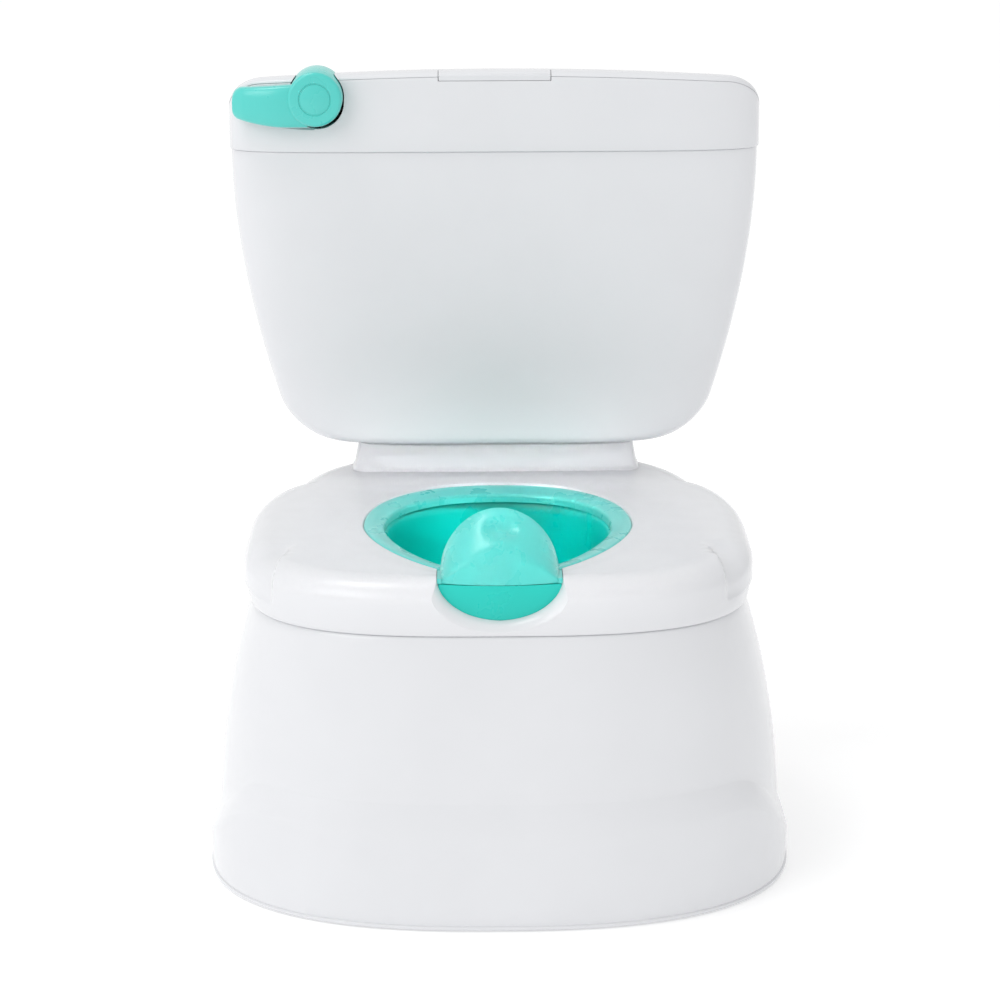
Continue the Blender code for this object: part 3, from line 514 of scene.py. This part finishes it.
def makePot():
    low, top = pot["flangeLow"], pot["flangeTop"]
    # distance out from the opening's outline and height: up the outside, over the flange, down the inside
    profile = [(-60.0, pot["bottom"]), (-32.0, pot["bottom"]), (-28.0, 56.3), (-24.0, 58.6), (-20.5, 62.6),
               (-18.6, 68.0), (-17.2, 78.0), (-14.5, 100.0), (-11.5, 140.0), (-9.6, 171.0), (-9.4, low),
               (-1.0, low), (-0.5, low + 0.4), (-0.5, top - 0.5), (-1.0, top), (-10.4, top),
               (-11.0, top - 0.4), (-11.7, top - 1.6), (-12.4, 172.0), (-14.0, 140.0), (-17.0, 100.0),
               (-20.2, 78.0), (-22.0, 70.0), (-25.0, 64.2), (-29.0, 60.4), (-34.0, 58.4), (-60.0, 58.1)]
    rings = []
    for grow, z in profile:
        rings.append([(*openingPoint(a, grow), z) for a in turnAngles(pot["count"])])
    piece = loft("potBowl", rings, tealPolypropylene, closed=False, sharp=40.0)
    half = pot["apronHalf"]
    apron = []
    for y, shrink in ((-131.0, 0.4), (-130.6, 0.0), (-127.4, 0.0), (-127.0, 0.4)):
        ring = []
        for a in turnAngles(96):
            rise = math.sin(a)
            z = low + 5.6 * min(1.0, 6.0 * rise) if rise > 0.0 else low + (15.6 - shrink) * rise
            x = (half - shrink) * math.cos(a)
            ring.append((x, y + 2.9 * (x / half) ** 2, z))
        apron.append(ring)
    carve(piece, [loft("potApron", apron, None, closed=False)], "UNION", 40.0)
    return finishPiece(piece, "pot", "teal_plastic", "pot")


def ringInner(angle, grow):
    return egg(angle, seat["openingHalf"] - 10.0 + grow, seat["openingFront"] - 10.0 + grow,
               seat["openingRear"] - 15.0 + grow, 1.6, 2.3, seat["openingY"])


def hoodPoint(around, along):
    # around runs from side to side, along from the ridge at the top down to the lip
    angle = math.pi * around
    side = -math.cos(angle)
    height = math.sin(angle) ** 0.92
    half, lipZ = guard["hoodHalf"], guard["lipZ"]
    ridge = (half * side * (1 - 0.10 * height), -111.0 + 8.0 * height,
             lipZ + 3.0 + (guard["hoodTop"] - lipZ - 3.0) * height)
    lip = (half * side, guard["lipY"] + 4.4 * side * side, lipZ)
    # a soft crease parts the dome from the flatter front face and runs down to the lip's corners
    crease = 0.56 + 0.40 * side * side
    rise, drop = (along / crease) ** 0.8, (1.0 - along) / (1.03 - crease)
    blunt = -math.log(math.exp(-9.0 * rise) + math.exp(-9.0 * drop)) / 9.0
    bulge = 7.5 * height * max(0.0, blunt + 0.075 * (1 - along))
    x, y, z = blendPoint(ridge, lip, along)
    dimple = 3.4 * math.exp(-((x - 1.0) / 8.0) ** 4 - ((along - 0.27) / 0.10) ** 2)
    return x, y - bulge + dimple, z + 0.35 * bulge - 0.4 * dimple


def makeGuard():
    top, low, count = guard["ringTop"], pot["flangeTop"] + 0.3, 224
    rings = []
    for grow, z in ((1.3, low), (1.3, top - 1.1), (1.15, top - 0.6), (0.85, top - 0.25), (0.4, top - 0.05),
                    (-0.4, top), (-3.0, top - 0.05)):
        rings.append([(*openingPoint(a, grow), z) for a in turnAngles(count)])
    outer = rings[-1]
    innerRing = [(*ringInner(a, 1.2), top - 1.5) for a in turnAngles(count)]
    for share in (0.2, 0.4, 0.6, 0.8, 1.0):
        rings.append([blendPoint(p, q, share) for p, q in zip(outer, innerRing)])
    for grow, z in ((0.6, top - 1.8), (0.15, top - 2.4), (0.0, top - 3.2), (0.0, low)):
        rings.append([(*ringInner(a, grow), z) for a in turnAngles(count)])
    piece = loft("splashGuardRing", rings, mintPolypropylene, sharp=40.0)
    around, along, thick = 72, 30, guard["thick"]
    points = []
    for side in (0.0, thick):
        for j in range(along + 1):
            for i in range(around + 1):
                x, y, z = hoodPoint(i / around, j / along)
                points.append((x * (1 - side / guard["hoodHalf"]), y + side, z - 0.45 * side))
    row, sheet = around + 1, (around + 1) * (along + 1)
    faces = []
    for j in range(along):
        for i in range(around):
            a = j * row + i
            faces.append((a, a + 1, a + row + 1, a + row))
            faces.append((sheet + a, sheet + a + row, sheet + a + row + 1, sheet + a + 1))
    edge = list(range(row)) + [j * row + around for j in range(1, along + 1)]
    edge += [along * row + i for i in range(around - 1, -1, -1)] + [j * row for j in range(along - 1, 0, -1)]
    for i, a in enumerate(edge):
        b = edge[(i + 1) % len(edge)]
        faces.append((a, b, sheet + b, sheet + a))
    hood = makePiece("hood", points, faces, None)
    # small cheeks close the gap between the hood's corners and the scoop
    cheeks = [slab("cheek", (x - 1.1, -127.6, 181.6), (x + 1.1, -112.0, 184.5)) for x in (-31.2, 31.2)]
    carve(piece, [hood] + cheeks, "UNION", 42.0)
    return finishPiece(piece, "guard", "light_teal_plastic", "splash_guard")


# neck and tank

neck = {"y": 105.5, "half": 82.5, "depth": 18.0}
tank = {
    "y": 106.0,
    "halfDepth": 36.0,
    "half": 149.0,
    "bottom": 206.0,
    "top": 375.0,
    "corner": 26.0,
    "wall": 3.0,
    "splitY": 128.0,
    "count": 256,
}
hatch = {"low": (-129.0, 328.0), "high": (-85.0, 368.0)}   # its window in the rear cover, x and z


def makeNeck():
    foot, top = seat["top"] + 0.3, tank["bottom"] - 0.3
    # height, then steps out from the half width and depth: down the inside, round the foot, up the outside
    profile = ((top - 3.0, -9.0, -7.0), (foot + 13.0, -9.0, -7.0), (foot + 12.0, -6.0, -3.0),
               (foot, -3.0, -3.0), (foot, 1.2, 1.0), (foot + 0.9, 0.9, 0.7), (foot + 2.0, 0.2, 0.15),
               (foot + 3.5, -0.2, 0.0), (foot + 9.0, -1.3, -0.15), (foot + 15.6, -2.6, -0.35),
               (foot + 16.2, -3.0, -0.7), (foot + 16.3, -6.0, -4.5), (top, -6.0, -4.5))
    rings = []
    for z, halfOut, depthOut in profile:
        ring = []
        for a in turnAngles(200):
            x, y = superPoint(a, neck["half"] + halfOut, neck["depth"] + depthOut, 5.0)
            ring.append((x, neck["y"] + y, z))
        rings.append(ring)
    piece = loft("neckColumn", rings, whitePolypropylene, closed=False, sharp=40.0)
    return finishPiece(piece, "upper", "white_plastic", "neck")


def tankHalf(z):
    return tank["half"] - 25.3 * (max(0.0, 371.0 - z) / 142.0) ** 1.82


def cornerInset(height, radius):
    if height >= radius:
        return 0.0
    return radius - math.sqrt(radius * radius - (radius - height) ** 2)


def tankRing(z, inset, extra=0.0):
    height = max(0.0, z - tank["bottom"] - inset)
    half = tankHalf(z) - inset - cornerInset(height, tank["corner"] - inset) - extra
    depth = tank["halfDepth"] - inset - cornerInset(height, 5.0 - inset / 2) - extra
    ring = []
    for a in turnAngles(tank["count"]):
        x, y = superPoint(a, half, depth, 5.0)
        ring.append((x, tank["y"] + y, z))
    return ring


def tankBody(name, material):
    rings = []
    for k in range(26):
        z = tank["bottom"] + 30.0 * (k / 25) ** 1.9
        rings.append(tankRing(z, 0.0))
    for k in range(1, 29):
        z = blendValue(236.0, tank["top"] - 1.0, k / 28)
        rings.append(tankRing(z, 0.0))
    rings.append(tankRing(tank["top"] - 0.3, 0.0, 0.05))
    rings.append(tankRing(tank["top"] - 0.1, 0.0, 0.2))
    rings.append(tankRing(tank["top"], 0.0, 0.45))
    for z in (tank["top"], 330.0, 290.0, 260.0, 236.0, 226.0, 218.0, 212.0, tank["bottom"] + tank["wall"]):
        rings.append(tankRing(z, tank["wall"]))
    return loft(name, rings, material, closed=False, sharp=34.0)


coverScrews = [(x, 0, z) for z, reach in ((234.0, 78.0), (334.0, 62.0)) for x in (-reach, reach)]


def makeTank():
    front = tankBody("tankFrontShell", whitePolypropylene)
    carve(front, [slab("frontSide", (-200, 40, 190), (200, tank["splitY"] - 0.25, 400))], "INTERSECT", 34.0)
    post = ((72.5, 4.8), (tank["splitY"] - 0.3, 4.8))
    posts = [turned("post", post, "Y", spot, None, 24) for spot in coverScrews]
    bores = [turned("bore", ((112.0, 2.3), (135.0, 2.3)), "Y", spot, None, 24) for spot in coverScrews]
    carve(front, posts, "UNION", 34.0)
    carve(front, bores, sharp=34.0)
    finishPiece(front, "upper", "white_plastic", "tank_front")
    rear = tankBody("tankRearCover", whitePolypropylene)
    carve(rear, [slab("rearSide", (-200, tank["splitY"] + 0.25, 190), (200, 160, 400))], "INTERSECT", 34.0)
    boss = ((tank["splitY"] + 0.3, 6.0), (139.8, 6.0))
    bosses = [turned("boss", boss, "Y", spot, None, 32) for spot in coverScrews]
    well = ((136.0, 4.4), (140.6, 4.4), (142.4, 5.4), (150.0, 5.4))
    wells = []
    for spot in coverScrews:
        wells.append(turned("well", well, "Y", spot, None, 40))
        wells.append(turned("through", ((120.0, 2.3), (150.0, 2.3)), "Y", spot, None, 24))
    carve(rear, bosses, "UNION", 34.0)
    low, high = hatch["low"], hatch["high"]
    window = slab("window", (low[0], 126.0, low[1]), (high[0], 160.0, high[1]))
    carve(rear, wells + [window], sharp=34.0)
    finishPiece(rear, "upper", "white_plastic", "tank_back")
    door = tankBody("batteryHatch", whitePolypropylene)
    limit = slab("limit", (low[0] + 0.5, tank["splitY"] + 0.3, low[1] + 0.5),
                 (high[0] - 0.5, 160.0, high[1] - 0.5))
    carve(door, [limit], "INTERSECT", 34.0)
    screwX, screwZ = (low[0] + high[0]) / 2, high[1] - 6.0
    tools = [turned("hole", ((125.0, 2.2), (150.0, 2.2)), "Y", (screwX, 0, screwZ), None, 24)]
    for k in range(3):
        z = low[1] + 10.0 + 3.4 * k
        tools.append(slab(f"gripGroove{k}", (screwX - 11.0, 140.3, z), (screwX + 11.0, 150.0, z + 1.3)))
    carve(door, tools, sharp=34.0)
    finishPiece(door, "battery_door", "white_plastic", "battery_door")


# collar, lid and tray

collar = {
    "half": 150.0,
    "halfDepth": 37.2,
    "top": 420.3,
    "drop": 4.0,
    "dropAt": 128.0,
    "corner": 14.0,       # how far the lid's ends round off
    "cornerFrom": 130.0,
    "fallFrom": 81.0,     # from here back the lid slopes down
    "fall": 0.135,
    "lidRim": 3.0,
    "ledge": (388.4, 391.0),
    "tabHalf": 31.2,
    "hingeX": 74.0,
    "hinge": (147.0, 404.4),
    "knuckle": 3.2,
    "pin": 1.3,
}
lever = {
    "x": -99.6,
    "z": 406.4,
    "drum": 15.1,
    "reach": 46.5,
    "front": 56.0,
    "rear": 90.0,
    "groove": 8.7,        # radius of the ring cut in the drum's face
    "axle": 2.0,
    "pocketGap": 0.7,     # between the drum and the bore that it sits in
}


def crown(x, y):
    end = min(1.0, max(0.0, (abs(x) - collar["cornerFrom"]) / (collar["half"] - collar["cornerFrom"])))
    rounding = collar["corner"] * (1.0 - math.sqrt(1.0 - end * end))
    return (collar["top"] - collar["drop"] * (x / collar["dropAt"]) ** 2 - rounding
            - collar["fall"] * max(0.0, y - collar["fallFrom"]))


def collarRing(inset, z=None, below=None):
    ring = []
    for a in turnAngles(tank["count"]):
        x, y = superPoint(a, collar["half"] - inset, collar["halfDepth"] - inset, 5.0)
        y += tank["y"]
        ring.append((x, y, crown(x, y) - below if z is None else z))
    return ring


def drumPocket():
    radius, end = lever["drum"] + lever["pocketGap"], lever["rear"] + 3.0
    centre = (lever["x"], 0.0, lever["z"])
    return turned("pocket", ((50.0, radius), (end, radius)), "Y", centre, None, 96)


def armRecess():
    # a shallow step in the collar under the arm and the drum leaves a fine dark line below them
    rings = []
    for k in range(15):
        share = 0.02 + 0.90 * k / 14
        low = min(point[2] for point in armSection(share))
        ring = []
        for a in turnAngles(16):
            y, z = superPoint(a, 11.0, 4.6, 5.0)
            ring.append((lever["x"] - lever["reach"] * share, 60.8 + y, low + 1.5 + z))
        rings.append(ring)
    arm = loft("armRecess", rings, None, closed=False)
    centre, radius = (lever["x"] + 0.6, 0.0, lever["z"] - 3.0), lever["drum"]
    drum = turned("drumRecess", ((50.0, radius), (84.0, radius)), "Y", centre, None, 96)
    return [arm, drum]


def knuckleRing(start, width, x):
    r, hole = collar["knuckle"], collar["pin"] + 0.3
    profile = ((start, r - 0.3), (start + 0.3, r), (start + width - 0.3, r), (start + width, r - 0.3),
               (start + width, hole), (start, hole))
    return turned("knuckle", profile, "X", (x, *collar["hinge"]), None, 40, bore=True)


def makeCollar():
    low, rim, ledge = tank["top"] + 0.1, collar["lidRim"] + 0.08, collar["ledge"]
    # up the outside, over the rim that follows the lid's crown, and down the inside with the tray's ledge
    rings = [collarRing(inset, z) for inset, z in (
        (0.7, low), (0.3, low + 0.1), (0.1, low + 0.3), (0.0, low + 0.6), (0.0, 384.0))]
    rings += [collarRing(inset, below=below) for inset, below in (
        (0.0, rim + 2.0), (0.0, rim + 0.5), (0.12, rim + 0.18), (0.3, rim), (3.2, rim))]
    rings += [collarRing(inset, z) for inset, z in (
        (3.2, ledge[1]), (9.0, ledge[1]), (9.0, ledge[0]), (3.2, ledge[0]), (3.2, low))]
    piece = loft("collarBand", rings, whitePolypropylene, sharp=36.0)
    z = collar["hinge"][1]
    ears = []
    for x in (-collar["hingeX"], collar["hingeX"]):
        ears.append(slab("ear", (x - 4.0, 141.5, z - 4.5), (x + 4.0, 145.2, z - 1.0)))
        ears.append(knuckleRing(-4.0, 8.0, x))
    carve(piece, ears, "UNION", 36.0)
    half = collar["tabHalf"] + 0.35
    slot = slab("tabSlot", (-half, 50.0, collar["top"] - 5.55), (half, 73.5, 430.0))
    carve(piece, [drumPocket()] + armRecess() + [slot], sharp=36.0)
    return finishPiece(piece, "upper", "white_plastic", "tank_collar")


def makeLid():
    rim = collar["lidRim"]
    rings = [collarRing(inset, below=below) for inset, below in (
        (33.0, 2.2), (20.0, 2.2), (9.0, 2.2), (3.8, 2.4), (3.6, rim), (0.45, rim), (0.2, rim - 0.1),
        (0.1, rim - 0.3), (0.25, 2.1), (0.6, 1.65), (1.1, 1.25), (1.8, 0.85), (2.8, 0.5), (4.2, 0.25),
        (6.5, 0.08), (9.0, 0.02), (14.0, 0.0), (20.0, 0.0), (26.0, 0.0), (33.0, 0.0))]
    piece = loft("lidPanel", rings, whitePolypropylene, closed=False, sharp=36.0)
    half, tabY, tabTop = collar["tabHalf"], tank["y"] - collar["halfDepth"] + 0.15, collar["top"] - 1.6
    adds = [slab("tab", (-half, tabY, collar["top"] - 5.4), (half, tabY + 3.0, tabTop), 0.3)]
    y, z = collar["hinge"]
    for x in (-collar["hingeX"], collar["hingeX"]):
        for start in (-12.0, 4.3):
            a, b = x + start, x + start + 7.7
            adds.append(slab("arm", (a, 139.0, z + 3.7), (b, 150.0, z + 5.7)))
            adds.append(slab("drop", (a, y + 1.9, z), (b, 150.0, z + 5.6)))
            adds.append(knuckleRing(start, 7.7, x))
    carve(piece, adds, "UNION", 36.0)
    slits = []
    for side in (-1, 1):
        a, b = sorted((side * half, side * (half + 0.35)))
        slits.append(slab("slit", (a, 50.0, 400.0), (b, 77.0, 430.0)))
    carve(piece, [drumPocket()] + slits, sharp=36.0)
    return finishPiece(piece, "lid", "white_plastic", "wipes_lid")


def makeTray():
    flange = collar["ledge"][1] + 0.3
    # distance in from the tray's outline and height: up the outside, round the flange, down the inside
    profile = ((12.0, 344.0), (9.0, 344.2), (6.5, 345.2), (5.0, 347.0), (0.5, 384.0), (0.0, flange - 0.2),
               (0.0, flange), (-2.0, flange), (-2.3, flange + 0.3), (-2.3, flange + 1.7),
               (-2.0, flange + 2.0), (1.6, flange + 2.0), (2.0, flange + 1.5), (2.6, 384.0), (7.0, 349.0),
               (8.6, 347.0), (11.0, 346.2), (14.0, 346.1))
    rings = []
    for inset, z in profile:
        ring = []
        for a in turnAngles(128):
            x, y = superPoint(a, 96.0 - inset, 27.5 - inset, 6.0)
            ring.append((32.0 + x, tank["y"] + y, z))
        rings.append(ring)
    piece = loft("wipesTray", rings, innerPolypropylene, closed=False, sharp=40.0)
    return finishPiece(piece, "upper", "white_plastic", "wipes_tray")


# flush lever

def armSection(reach):
    # the end is squarish: its upper corner rounds off over 6 mm, its lower one over 3 mm
    upper = min(1.0, max(0.0, (reach - 0.87) / 0.13))
    lower = min(1.0, max(0.0, (reach - 0.935) / 0.065))
    top = 415.2 - 3.2 * reach - 6.0 * (1.0 - math.sqrt(1.0 - upper ** 2))
    low = 390.4 + 10.0 * max(0.0, reach - 0.30) ** 2 + 3.0 * (1.0 - math.sqrt(1.0 - lower ** 2))
    bend = 8.5 * max(0.0, reach - 0.35) ** 2 / 0.42
    front = 57.2 + bend + 1.5 * upper
    back = 68.0 + bend
    section = []
    for a in turnAngles(72):
        y, z = superPoint(a, (back - front) / 2, (top - low) / 2, 3.6)
        section.append((lever["x"] - lever["reach"] * reach, (front + back) / 2 + y, (top + low) / 2 + z))
    return section


def makeLever():
    r, front, rear, groove = lever["drum"], lever["front"], lever["rear"], lever["groove"]
    centre = (lever["x"], 0.0, lever["z"])
    profile = [(front + 0.15, 0.5), (front + 0.1, groove - 0.65), (front + 0.2, groove - 0.42),
               (front + 0.6, groove - 0.2), (front + 0.6, groove + 0.2), (front + 0.15, groove + 0.42),
               (front, groove + 0.65), (front, r - 1.7), (front + 0.05, r - 1.35), (front + 0.3, r - 0.8),
               (front + 0.75, r - 0.3), (front + 1.3, r), (rear - 0.5, r), (rear, r - 0.5), (rear, 1.0)]
    piece = turned("flushLever", profile, "Y", centre, mintPolypropylene, 128, sharp=30.0)
    stations = [0.10 + 0.77 * k / 18 for k in range(19)]
    stations += [0.87 + 0.13 * math.sin(math.pi * k / 24) for k in range(1, 13)]
    arm = loft("arm", [armSection(s) for s in stations], None, closed=False)
    carve(piece, [arm], "UNION", 30.0)
    hole = lever["axle"] + 0.3
    bore = turned("bore", ((rear - 12.0, hole), (rear + 5.0, hole)), "Y", centre, None, 32)
    carve(piece, [bore], sharp=30.0)
    return finishPiece(piece, "lever", "light_teal_plastic", "flush_lever")


# small parts that keep their frame shape

def dressFrameParts():
    finishes = {
        "lever_axle": zincSteel, "lever_spring": zincSteel, "lever_cam": greyAbs, "lever_bracket": greyAbs,
        "switch_plunger": greyAbs, "switch_body": greyAbs, "sound_module_case": greyAbs, "speaker": greyAbs,
        "circuit_board": solderMask, "battery_1": cellSleeve, "battery_2": cellSleeve,
        "battery_contact_left": zincSteel, "battery_contact_right": zincSteel,
        "lid_hinge_pin_left": zincSteel, "lid_hinge_pin_right": zincSteel, "battery_door_screw": zincSteel,
    }
    finishes.update({f"rubber_foot_{n}": thermoplasticRubber for n in (1, 2, 3, 4)})
    finishes.update({f"neck_screw_{n}": zincSteel for n in (1, 2, 3, 4)})
    finishes.update({f"cover_screw_{n}": zincSteel for n in (1, 2, 3, 4)})
    finishes.update({f"tank_screw_{n}": zincSteel for n in (1, 2)})
    for name, material in finishes.items():
        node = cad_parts[name]
        node.data.materials.clear()
        node.data.materials.append(material)


# studio

studio = {
    "camera": (-0.0144, -1.653, 0.635),
    "tilt": 15.0,         # degrees down
    "turn": 0.55,         # degrees towards the right
    "roll": -0.22,        # degrees about the view's own axis
    "lens": 111.4,
    "worldLeft": 0.97,    # the surround is a little brighter on the left than on the right
    "worldRight": 0.79,
    "floorReach": 9000,   # millimetres out from the middle on each side
    "floorShade": "#e9e9e9",
    "floorGlow": 0.30,
    "lamps": {
        # name: place, size in metres, watts, aim, spread in degrees
        "keySoftbox": ((-1.3, -1.5, 1.3), (1.2, 1.2), 8.4, (0, 0, 0.2), 180.0),
        "rimSoftbox": ((-0.5, -0.1, 1.6), (0.5, 0.5), 3.2, (0, 0, 0.3), 180.0),
        "neckFill": ((-0.08, -1.3, 0.44), (0.2, 0.05), 0.020, (0, 0.06, 0.187), 5.0),
        "bowlFill": ((0.0, -0.75, 1.0), (0.10, 0.06), 0.020, (0, 0.03, 0.15), 4.0),
    },
}


def aimAt(item, place, aim):
    item.location = place
    item.rotation_euler = (Vector(aim) - Vector(place)).to_track_quat("-Z", "Y").to_euler()
    bpy.context.scene.collection.objects.link(item)


def makeStudio():
    camera = bpy.data.objects.new("camera", bpy.data.cameras.new("camera"))
    camera.data.lens = studio["lens"]
    camera.data.sensor_width = 36.0
    tilt, turn = math.radians(studio["tilt"]), math.radians(studio["turn"])
    look = Vector((math.sin(turn) * math.cos(tilt), math.cos(turn) * math.cos(tilt), -math.sin(tilt)))
    aimAt(camera, studio["camera"], Vector(studio["camera"]) + look)
    roll = Matrix.Rotation(math.radians(studio["roll"]), 3, "Z")
    camera.rotation_euler = (camera.rotation_euler.to_matrix() @ roll).to_euler()
    bpy.context.scene.camera = camera
    bpy.context.scene.view_settings.view_transform = "Standard"
    world = bpy.data.worlds.new("studio")
    bpy.context.scene.world = world
    world.use_nodes = True
    background = world.node_tree.nodes["Background"]
    where = addNode(world, "ShaderNodeTexCoord")
    sides = addNode(world, "ShaderNodeSeparateXYZ", None, {"Vector": where.outputs["Generated"]})
    level = addNode(world, "ShaderNodeMapRange",
                    {"From Min": -1.0, "From Max": 1.0, "To Min": studio["worldLeft"],
                     "To Max": studio["worldRight"]}, {"Value": sides.outputs["X"]})
    world.node_tree.links.new(level.outputs["Result"], background.inputs["Strength"])
    background.inputs["Color"].default_value = (1.0, 1.0, 1.0, 1.0)
    # matt seamless paper with a faint glow of its own, so that it stays a clean pale ground
    paper = newMaterial("matPaper")
    where = addNode(paper, "ShaderNodeTexCoord")
    grain = addNode(paper, "ShaderNodeTexNoise", {"Scale": 30.0}, {"Vector": where.outputs["Object"]})
    rough = addNode(paper, "ShaderNodeMapRange", {"To Min": 0.75, "To Max": 0.85},
                    {"Value": grain.outputs["Fac"]})
    shader = addNode(paper, "ShaderNodeBsdfPrincipled", {"Base Color": srgb(studio["floorShade"]),
                     "Specular IOR Level": 0.2, "Emission Color": (1.0, 1.0, 1.0, 1.0),
                     "Emission Strength": studio["floorGlow"]}, {"Roughness": rough.outputs["Result"]})
    addNode(paper, "ShaderNodeOutputMaterial", None, {"Surface": shader.outputs["BSDF"]})
    reach = studio["floorReach"]
    corners = [(-reach, -reach, 0), (reach, -reach, 0), (reach, reach, 0), (-reach, reach, 0)]
    floor = makePiece("studioFloor", corners, [(0, 1, 2, 3)], paper)
    for name, (place, size, power, aim, spread) in studio["lamps"].items():
        light = bpy.data.lights.new(name, "AREA")
        light.shape = "RECTANGLE"
        light.size, light.size_y = size
        light.energy = power
        light.spread = math.radians(spread)
        lamp = bpy.data.objects.new(name, light)
        lamp.visible_glossy = spread > 90.0   # the narrow fills leave no hot spots
        aimAt(lamp, place, aim)


makeStudio()
print("studio set")
makeBase()
print("base made")
makeSeat()
print("seat made")
makePot()
makeGuard()
print("pot and guard made")
makeNeck()
makeTank()
print("neck and tank made")
makeCollar()
makeLid()
makeTray()
print("collar, lid and tray made")
makeLever()
dressFrameParts()
print("lever and small parts made")
